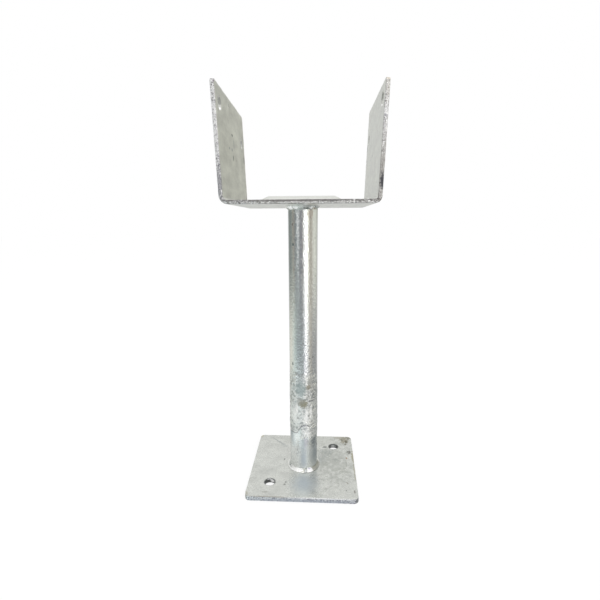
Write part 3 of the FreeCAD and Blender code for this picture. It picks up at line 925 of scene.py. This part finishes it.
sheetMarks = [
    mark((-0.077, -0.0011, 0.4039), (0.003, 0.0032, 0.0015), darkSpeck, 0.9),
    mark((-0.077, -0.0021, 0.38), (0.003, 0.0024, 0.0034), darkSpeck, 0.9, ragged=0.5),
    mark((-0.077, -0.018, 0.3879), (0.003, 0.0024, 0.0014), greyStreak, 0.85),
    mark((-0.077, -0.006, 0.388), (0.003, 0.0026, 0.0018), greyStreak, 0.85),
    mark((-0.077, 0.004, 0.395), (0.003, 0.003, 0.006), greyStreak, 0.45, ragged=0.8),
    mark((-0.078, -0.013, 0.429), (0.004, 0.0028, 0.006), paleStreak, 0.45, ragged=0.4),
    mark((-0.077, -0.038, 0.346), (0.004, 0.002, 0.0042), paleStreak, 0.4, ragged=0.4),
    # painted shade on the upper wall of the left ear's front hole
    mark((-0.08, -0.0448, 0.4265), (0.0045, 0.004, 0.0032), (0.22, 0.23, 0.21), 0.65, ragged=1.1,
         scale=900, matt=0),
    mark((-0.077, 0.059, 0.386), (0.004, 0.004, 0.0055), darkSpeck, 0.6, ragged=0.9),
    mark((-0.077, 0.06, 0.3395), (0.004, 0.004, 0.006), (0.22, 0.18, 0.2), 0.6, ragged=0.9),
    mark((0.078, 0.0036, 0.381), (0.004, 0.0018, 0.0018), greyStreak, 0.7),
    mark((0.078, 0.0224, 0.374), (0.004, 0.003, 0.001), greyStreak, 0.6),
    # painted shade on the upper wall of the right ear's front hole
    mark((0.08, -0.0448, 0.4275), (0.0045, 0.004, 0.0038), (0.22, 0.23, 0.21), 0.65, ragged=1.1,
         scale=900, matt=0),
    mark((0.077, 0.06, 0.399), (0.004, 0.004, 0.0045), greyStreak, 0.7, ragged=0.8),
    mark((0.079, -0.0648, 0.406), (0.0016, 0.0015, 0.0013), (0.1, 0.1, 0.14), 0.9, ragged=0.6),
    mark((0.08, -0.065, 0.4), (0.006, 0.002, 0.023), (0.92, 0.91, 0.93), 0.4, ragged=1.4, matt=0.3),
    mark((0.0805, -0.065, 0.429), (0.006, 0.002, 0.012), (0.58, 0.55, 0.51), 0.5, ragged=2.2, scale=900),
    mark((-0.079, -0.065, 0.395), (0.006, 0.002, 0.056), (0.97, 0.97, 0.97), 0.35, ragged=2.0,
         scale=1100, matt=0.6),
    # painted light: white slits on the lower walls of both ears' front holes
    mark((-0.0805, -0.044, 0.4198), (0.0034, 0.003, 0.002), (0.98, 0.98, 0.98), 1.0, ragged=0.3, matt=1),
    mark((0.0805, -0.044, 0.4198), (0.0034, 0.003, 0.002), (0.98, 0.98, 0.98), 1.0, ragged=0.3, matt=1),
    mark((-0.079, 0.054, 0.405), (0.004, 0.0034, 0.0048), (0.3, 0.31, 0.3), 0.7, ragged=1.2, scale=900),
    mark((0.079, 0.054, 0.4045), (0.0034, 0.003, 0.005), (0.6, 0.62, 0.6), 0.8, ragged=0.6, matt=0.8),
    mark((-0.0785, 0.03, 0.39), (0.005, 0.013, 0.056), (0.9, 0.91, 0.86), 0.45, ragged=0.8, scale=160,
         **broad),
    mark((0.078, -0.0648, 0.381), (0.002, 0.0015, 0.0016), (0.98, 0.98, 0.98), 0.95, ragged=0.4),
    mark((-0.079, -0.0648, 0.4384), (0.0011, 0.0015, 0.0013), (0.22, 0.17, 0.22), 0.8, ragged=0.8),
    mark((-0.0783, -0.0648, 0.4205), (0.0009, 0.0015, 0.0013), (0.3, 0.3, 0.32), 0.6, ragged=0.8),
    mark((-0.0768, -0.0648, 0.373), (0.0009, 0.0015, 0.0018), (0.25, 0.24, 0.28), 0.6, ragged=0.8),
    mark((-0.078, -0.0648, 0.35), (0.004, 0.0015, 0.017), (0.08, 0.08, 0.1), 0.95, ragged=2.8,
         scale=1000),
    mark((0.081, -0.0648, 0.4385), (0.003, 0.0025, 0.003), (0.8, 0.73, 0.62), 0.8, ragged=0.4),
    mark((0.03, -0.0648, 0.33), (0.01, 0.0015, 0.001), (0.1, 0.1, 0.11), 0.85, ragged=0.9),
    mark((0.0, -0.065, 0.33), (0.076, 0.002, 0.0035), (0.18, 0.17, 0.16), 0.8, ragged=2.8, scale=700),
    # painted glints: a ragged white line along the lower half of the floor's front edge
    mark((0.01, -0.0648, 0.3292), (0.064, 0.0015, 0.0008), (0.97, 0.97, 0.95), 0.45, ragged=3.0,
         scale=900),
    mark((0.0785, -0.065, 0.354), (0.006, 0.002, 0.036), (0.16, 0.14, 0.12), 0.75, ragged=3.0,
         scale=1300),
    mark((0.078, -0.065, 0.36), (0.003, 0.002, 0.026), (0.96, 0.95, 0.92), 0.22, ragged=3.4, scale=1500),
    mark((0.0783, -0.0648, 0.348), (0.0024, 0.002, 0.0085), (0.05, 0.05, 0.06), 0.95, ragged=1.0,
         scale=900),
    mark((-0.078, -0.065, 0.352), (0.0034, 0.002, 0.019), (0.97, 0.97, 0.97), 0.3, ragged=3.6,
         scale=1400),
    mark((0.0, -0.0648, 0.3312), (0.076, 0.0015, 0.0008), (0.16, 0.15, 0.15), 0.8, ragged=0.9, scale=900),
]


def onPipe(angle, height, wide, tall, colour, strength, **more):
    turn = math.radians(angle)
    at = (pipeRadius * math.sin(turn), -pipeRadius * math.cos(turn), height)
    return mark(at, (wide, wide, tall), colour, strength, **more)


pipeMarks = [
    onPipe(28, 0.115, 0.011, 0.017, (0.4, 0.41, 0.4), 0.6, ragged=1.2, **broad),
    onPipe(12, 0.088, 0.007, 0.013, (0.42, 0.44, 0.44), 0.55, ragged=1.2, **broad),
    onPipe(76, 0.105, 0.007, 0.042, (0.4, 0.42, 0.42), 0.6, ragged=0.8, **broad),
    # painted reflection: a broad bluish field on the pipe's left front
    onPipe(-20, 0.165, 0.008, 0.03, (0.5, 0.55, 0.57), 0.4, ragged=0.9, **broad, rough=0),
    # painted highlights along the crust's ridges
    onPipe(16, 0.1225, 0.0016, 0.0065, (0.98, 0.98, 0.97), 0.8, ragged=1.2, scale=900, matt=0.4),
    onPipe(14, 0.079, 0.0022, 0.011, (0.98, 0.98, 0.97), 0.8, ragged=1.2, scale=900, matt=0.4),
    onPipe(33, 0.085, 0.002, 0.009, (0.98, 0.98, 0.97), 0.7, ragged=1.3, scale=900, matt=0.4),
    onPipe(-26, 0.09, 0.002, 0.007, (0.98, 0.98, 0.96), 0.7, ragged=1.3, scale=900, matt=0.4),
    onPipe(23, 0.1175, 0.0034, 0.0036, (0.3, 0.27, 0.2), 0.85, ragged=0.7, rough=0.3),
    onPipe(30, 0.125, 0.0042, 0.006, (0.36, 0.36, 0.31), 0.5, ragged=0.9, rough=0.3),
    onPipe(2, 0.096, 0.0058, 0.0052, (0.29, 0.28, 0.2), 0.9, ragged=0.8, rough=0.3),
    onPipe(-10, 0.0985, 0.006, 0.005, (0.33, 0.34, 0.31), 0.6, ragged=0.9, rough=0.3),
    onPipe(34, 0.099, 0.0056, 0.0012, (0.2, 0.21, 0.21), 0.9, ragged=0.6),
    onPipe(52, 0.102, 0.005, 0.0011, (0.2, 0.21, 0.21), 0.8, ragged=0.6),
    onPipe(-21, 0.077, 0.0012, 0.0014, (0.2, 0.2, 0.19), 0.85),
    onPipe(-46, 0.145, 0.0014, 0.0022, (0.16, 0.2, 0.2), 0.8),
    onPipe(28, 0.153, 0.001, 0.0011, darkSpeck, 0.75),
    onPipe(45, 0.154, 0.0016, 0.0011, darkSpeck, 0.75),
    onPipe(-9, 0.115, 0.0068, 0.0115, (0.33, 0.4, 0.4), 0.75, ragged=0.7, rough=0.2),
    onPipe(-38, 0.116, 0.0036, 0.005, (0.4, 0.46, 0.45), 0.5, ragged=0.9, rough=0.2),
    onPipe(-36, 0.09, 0.004, 0.009, (0.42, 0.45, 0.44), 0.45, ragged=0.9, rough=0.2),
    onPipe(-52, 0.06, 0.0046, 0.003, (0.34, 0.36, 0.37), 0.55, ragged=0.9),
    onPipe(-39, 0.286, 0.0014, 0.002, (0.1, 0.15, 0.16), 0.85),
    onPipe(-41, 0.308, 0.001, 0.0016, (0.2, 0.15, 0.13), 0.7),
    onPipe(10, 0.281, 0.0007, 0.0007, darkSpeck, 0.7),
    onPipe(-3, 0.27, 0.0012, 0.0007, (0.95, 0.95, 0.95), 0.8),
    onPipe(57, 0.25, 0.0008, 0.0011, darkSpeck, 0.6),
    onPipe(56, 0.293, 0.0008, 0.0009, darkSpeck, 0.5),
    onPipe(-62, 0.175, 0.001, 0.0012, darkSpeck, 0.6),
    onPipe(2, 0.172, 0.001, 0.001, darkSpeck, 0.6),
    onPipe(9, 0.169, 0.0009, 0.0009, darkSpeck, 0.6),
    onPipe(33, 0.32, 0.004, 0.006, (0.45, 0.34, 0.27), 0.35, ragged=0.9),
    onPipe(26, 0.126, 0.0075, 0.012, (0.44, 0.45, 0.43), 0.6, ragged=1.0, core=0.0),
    # painted reflection and painted shade on the pipe's lowest part: pale on the left, darker on the
    # right, bluish at the front
    onPipe(-48, 0.03, 0.015, 0.024, (0.97, 0.99, 0.99), 0.7, ragged=0.3, core=0.0, matt=0.2, rough=0.05),
    onPipe(64, 0.028, 0.015, 0.026, (0.34, 0.38, 0.43), 0.85, ragged=0.3, **broad, rough=0.05),
    onPipe(2, 0.028, 0.009, 0.024, (0.6, 0.66, 0.72), 0.6, ragged=0.3, **broad, rough=0.05),
    onPipe(-30, 0.052, 0.007, 0.009, (0.97, 0.98, 0.96), 0.7, ragged=0.9, core=0.2, matt=0.4),
    onPipe(18, 0.056, 0.006, 0.008, (0.9, 0.91, 0.91), 0.6, ragged=1.2, core=0.2, matt=0.4),
    onPipe(-38, 0.081, 0.0085, 0.016, (0.97, 0.98, 0.95), 0.75, ragged=1.0, core=0.1, matt=0.4),
    onPipe(50, 0.056, 0.008, 0.011, (0.5, 0.52, 0.53), 0.25, ragged=1.4, core=0.0),
    # painted shade on the pipe's lowest part, at its left side
    onPipe(-92, 0.028, 0.0085, 0.026, (0.46, 0.48, 0.48), 0.75, ragged=0.4, **broad, rough=0.05),
]


def onWeld(angle, out, height, wide, tall, colour, strength, **more):
    turn = math.radians(angle)
    at = ((pipeRadius + out) * math.sin(turn), -(pipeRadius + out) * math.cos(turn), height)
    return mark(at, (wide, wide, tall), colour, strength, **more)


weldMarks = [
    # foot weld: white marks are painted glints and the pale patch at -95 degrees is painted light; greyer
    # at 10 degrees and darker on the right side
    onWeld(10, 0.0025, 0.0085, 0.0022, 0.005, (0.5, 0.52, 0.53), 0.75, ragged=0.7),
    onWeld(70, 0.0025, 0.0085, 0.0135, 0.006, (0.36, 0.36, 0.32), 0.85, ragged=0.7, core=0.7),
    onWeld(-36, 0.0025, 0.0085, 0.011, 0.005, (0.98, 0.98, 0.97), 0.8, ragged=0.5, matt=0.6),
    onWeld(-95, 0.0025, 0.0085, 0.01, 0.006, (0.92, 0.93, 0.9), 0.6, ragged=0.8, core=0.3, matt=0.7),
    onWeld(27, 0.0028, 0.0085, 0.004, 0.005, (0.98, 0.97, 0.99), 0.85, ragged=0.5, matt=0.6),
    onWeld(25, 0.0022, 0.009, 0.0024, 0.0007, (0.3, 0.28, 0.42), 0.85, ragged=0.4),
    # neck weld: white blobs are pale zinc carrying painted glints
    onWeld(-48, 0.0026, 0.3256, 0.0052, 0.0021, (0.98, 0.99, 0.98), 0.95, ragged=1.3, scale=900,
           matt=0.8),
    onWeld(-24, 0.0022, 0.3256, 0.0036, 0.0018, (0.98, 0.99, 0.98), 0.9, ragged=1.3, scale=900, matt=0.8),
    onWeld(-66, 0.001, 0.325, 0.0022, 0.0008, (0.3, 0.33, 0.31), 0.7, ragged=0.9),
    onWeld(38, 0.0024, 0.3258, 0.0046, 0.0019, (0.98, 0.99, 0.97), 0.9, ragged=1.3, scale=900, matt=0.8),
    onWeld(52, 0.001, 0.3252, 0.003, 0.001, (0.42, 0.36, 0.28), 0.65, ragged=0.9),
    onWeld(5, 0.001, 0.327, 0.008, 0.001, (0.45, 0.47, 0.46), 0.6, ragged=0.9),
    # painted light: a brighter strip along the front of the seat weld
    mark((0.0, -0.038, 0.335), (0.06, 0.009, 0.009), (0.96, 0.97, 0.92), 0.4, ragged=0.0, core=0.9,
         matt=0.1, rough=0.25),
]

galvanisedSheet = makeZinc("galvanisedSheet", sheetLook, sheetMarks)
galvanisedPlate = makeZinc("galvanisedPlate", plateLook, plateMarks)
galvanisedPipe = makeZinc("galvanisedPipe", pipeLook, pipeMarks)
galvanisedWeld = makeZinc("galvanisedWeld", weldLook, weldMarks)
print("materials made")


# The pieces, each standing for its node of the frame

fitPiece(makeBasePlate(), "base_plate", galvanisedPlate)
print("base plate made")
fitPiece(makePipeLeg(), "pipe_leg", galvanisedPipe)
print("pipe made")
fitPiece(makePipeWeld("footWeld", "foot_weld", 1, 0.72, (9,), (85, -78), 40), "foot_weld",
         galvanisedWeld)
fitPiece(makePipeWeld("neckWeld", "neck_weld", -1, 1.0, (-38, 44), (80,), 30), "neck_weld",
         galvanisedWeld)
print("pipe welds made")
fitPiece(makeSaddle(), "saddle", galvanisedSheet)
print("saddle made")
fitPiece(makeSeatPlate(), "seat_plate", galvanisedSheet)
fitPiece(makeSeatWeld(), "seat_weld", galvanisedWeld)
print("seat made")


# Camera

view = {"lens": 23.288, "place": (0.0213, -0.44912, 0.31057), "yaw": -3.196, "pitch": -11.366,
        "roll": -0.308}


def aimCamera():
    deselectAll()
    bpy.ops.object.camera_add()
    camera = bpy.context.object
    camera.data.lens = view["lens"]
    camera.data.sensor_width = 36
    yaw, pitch, roll = (math.radians(view[key]) for key in ("yaw", "pitch", "roll"))
    forward = Vector((math.sin(yaw) * math.cos(pitch), math.cos(yaw) * math.cos(pitch),
                      math.sin(pitch)))
    level = Vector((math.cos(yaw), -math.sin(yaw), 0))
    upright = level.cross(forward)
    right = math.cos(roll) * level + math.sin(roll) * upright
    up = math.cos(roll) * upright - math.sin(roll) * level
    turn = Matrix((right, up, -forward)).transposed().to_4x4()
    camera.matrix_world = Matrix.Translation(view["place"]) @ turn
    bpy.context.scene.camera = camera


# Floor: white, holding only the part's soft shadow, and clear to reflections

def layFloor():
    deselectAll()
    bpy.ops.mesh.primitive_plane_add(size=12, location=(0, 3, 0))
    floor = bpy.context.object
    floor.name = "floor"
    settlePlace(floor)
    material = bpy.data.materials.new("whiteFloor")
    material.use_nodes = True
    tree = material.node_tree
    tree.nodes.remove(tree.nodes["Principled BSDF"])
    matt = addNode(tree, "ShaderNodeBsdfDiffuse", {"Color": (1, 1, 1, 1)})
    glow = addNode(tree, "ShaderNodeEmission", {"Color": (1, 1, 1, 1), "Strength": 1.0})
    shown = addNode(tree, "ShaderNodeMixShader", {0: 0.85, 1: matt.outputs[0], 2: glow.outputs[0]})
    clear = addNode(tree, "ShaderNodeBsdfTransparent")
    path = addNode(tree, "ShaderNodeLightPath")
    picked = addNode(tree, "ShaderNodeMixShader", {0: path.outputs["Is Glossy Ray"],
                                                   1: shown.outputs[0], 2: clear.outputs[0]})
    join(tree, picked.outputs[0], tree.nodes["Material Output"].inputs["Surface"])
    floor.data.materials.append(material)


# Studio seen in the zinc: (angle round the part, light, tint), from -180 to 180, 0 being the front

tints = {"green": (0.93, 1.05, 0.99), "teal": (0.93, 1.03, 1.04), "warm": (1.08, 1.0, 0.86),
         "plain": (1, 1, 1), "yellow": (1.03, 1.03, 0.92), "violet": (0.98, 0.97, 1.08)}

levelStudio = [
    (-180, 0.80, "plain"), (-170, 0.84, "plain"), (-155, 0.64, "plain"), (-141, 0.34, "green"),
    (-121, 0.21, "green"), (-107, 0.25, "green"), (-94, 0.32, "green"), (-83, 0.36, "warm"),
    (-73, 0.33, "warm"), (-63, 0.26, "teal"), (-54, 0.28, "teal"), (-46, 0.33, "teal"),
    (-29, 0.33, "teal"), (-21, 0.30, "plain"), (-13, 0.27, "violet"), (-5, 0.32, "violet"),
    (3, 0.46, "warm"), (10, 0.85, "plain"), (17, 1.8, "plain"), (25, 2.6, "plain"),
    (33, 2.3, "yellow"), (40, 1.3, "yellow"), (48, 0.78, "warm"), (57, 0.45, "warm"),
    (68, 0.42, "warm"), (78, 0.60, "warm"), (88, 0.80, "yellow"), (110, 0.84, "yellow"),
    (147, 0.50, "yellow"), (164, 0.39, "yellow"), (170, 0.51, "yellow"), (180, 0.80, "plain"),
]

lowStudio = [
    (-180, 0.74, "plain"), (-141, 0.76, "yellow"), (-100, 0.90, "yellow"), (-76, 0.86, "green"),
    (-62, 0.60, "green"), (-46, 0.44, "teal"), (-10, 0.36, "teal"), (6, 0.42, "teal"),
    (14, 0.90, "violet"), (22, 1.7, "plain"), (30, 1.45, "plain"), (40, 0.84, "plain"),
    (60, 0.56, "warm"), (88, 0.40, "plain"), (120, 0.36, "plain"), (147, 0.50, "plain"),
    (180, 0.74, "plain"),
]

floorStudio = [
    (-180, 0.66, "plain"), (-141, 0.42, "teal"), (-95, 0.56, "teal"), (-60, 1.10, "teal"),
    (-35, 1.00, "teal"), (-15, 0.78, "teal"), (3, 0.60, "teal"), (14, 0.70, "violet"),
    (30, 0.48, "violet"), (50, 0.30, "teal"), (90, 0.20, "teal"), (140, 0.26, "teal"),
    (180, 0.72, "plain"),
]

studio = {"levelUntil": -6.5, "lowFrom": -18, "lowUntil": -21, "floorFrom": -27,
          "streakAt": -38, "streak": 1.35, "streakUntil": -2, "streakGone": -8,
          "skyLow": 14, "skyHigh": 30, "rear": 0.80, "front": 1.7, "top": 0.90, "under": 0.70,
          "matt": 1.0, "peak": 3.0}


def studioBand(tree, turn, stops):
    ramp = addNode(tree, "ShaderNodeValToRGB", {0: turn})
    bar = ramp.color_ramp
    for i, (angle, light, tint) in enumerate(stops):
        stop = bar.elements[i] if i < 2 else bar.elements.new(1.0)
        stop.position = (angle + 180) / 360
    for stop, (angle, light, tint) in zip(bar.elements, stops):
        stop.position = (angle + 180) / 360
        stop.color = (*[min(1.0, light / studio["peak"] * part) for part in tints[tint]], 1)
    return ramp.outputs[0]


def lightWorld():
    world = bpy.data.worlds.new("studio")
    bpy.context.scene.world = world
    world.use_nodes = True
    tree = world.node_tree
    tree.nodes.clear()
    way = addNode(tree, "ShaderNodeSeparateXYZ",
                  {0: addNode(tree, "ShaderNodeTexCoord").outputs["Generated"]}).outputs
    back = calc(tree, "MULTIPLY", way[1], -1.0)
    turn = calc(tree, "ADD", calc(tree, "DIVIDE", calc(tree, "ARCTAN2", way[0], back), math.tau), 0.5)
    rise = calc(tree, "MULTIPLY", calc(tree, "ARCSINE", way[2]), 180 / math.pi)
    level = studioBand(tree, turn, levelStudio)
    low = studioBand(tree, turn, lowStudio)
    ground = studioBand(tree, turn, floorStudio)
    near = mixColours(tree, fade(tree, rise, studio["levelUntil"], studio["lowFrom"]), level, low)
    across = calc(tree, "ABSOLUTE", calc(tree, "SUBTRACT", turn, (studio["streakAt"] + 180) / 360))
    streak = calc(tree, "MULTIPLY", fade(tree, across, 9 / 360, 1 / 360),
                  fade(tree, rise, studio["streakGone"], studio["streakUntil"]))
    near = mixColours(tree, streak, near, (studio["streak"] / studio["peak"],) * 3 + (1,))
    near = mixColours(tree, fade(tree, rise, studio["lowUntil"], studio["floorFrom"]), near, ground)
    below = calc(tree, "MULTIPLY", fade(tree, rise, 2, -2), fade(tree, back, -0.7, -0.95))
    floorGlow = (studio["under"] / studio["peak"],) * 3 + (1,)
    near = mixColours(tree, below, near, floorGlow)
    rear, front, top = ((studio[key] / studio["peak"],) * 3 + (1,) for key in ("rear", "front", "top"))
    ahead = calc(tree, "MULTIPLY", fade(tree, back, 0.05, 0.45), fade(tree, rise, 36, 46))
    sky = mixColours(tree, ahead, rear, front)
    sky = mixColours(tree, fade(tree, rise, 66, 80), sky, top)
    near = mixColours(tree, fade(tree, rise, studio["skyLow"], studio["skyHigh"]), near, sky)
    path = addNode(tree, "ShaderNodeLightPath").outputs
    sharp = addNode(tree, "ShaderNodeBackground", {0: near, 1: studio["peak"]})
    matt = addNode(tree, "ShaderNodeBackground", {0: (1, 1, 1, 1), 1: studio["matt"]})
    white = addNode(tree, "ShaderNodeBackground", {0: (1, 1, 1, 1), 1: 1.0})
    lit = addNode(tree, "ShaderNodeMixShader", {0: path["Is Glossy Ray"], 1: matt.outputs[0],
                                                2: sharp.outputs[0]})
    plain = calc(tree, "MAXIMUM", path["Is Camera Ray"], path["Is Transmission Ray"])
    seen = addNode(tree, "ShaderNodeMixShader", {0: plain, 1: lit.outputs[0], 2: white.outputs[0]})
    addNode(tree, "ShaderNodeOutputWorld", {0: seen.outputs[0]})


def hangLamp(name, where, size, power):
    deselectAll()
    bpy.ops.object.light_add(type="AREA", location=where)
    lamp = bpy.context.object
    lamp.name = name
    lamp.data.shape = "DISK"
    lamp.data.size = size
    lamp.data.energy = power
    lamp.visible_glossy = False
    aim = Vector((0, 0, 0.2)) - Vector(where)
    lamp.rotation_euler = aim.to_track_quat("-Z", "Y").to_euler()


aimCamera()
layFloor()
lightWorld()
hangLamp("keyLamp", (0.7, -0.9, 1.8), 1.4, 10)
bpy.context.scene.view_settings.view_transform = "Standard"
print("camera, floor and light set")
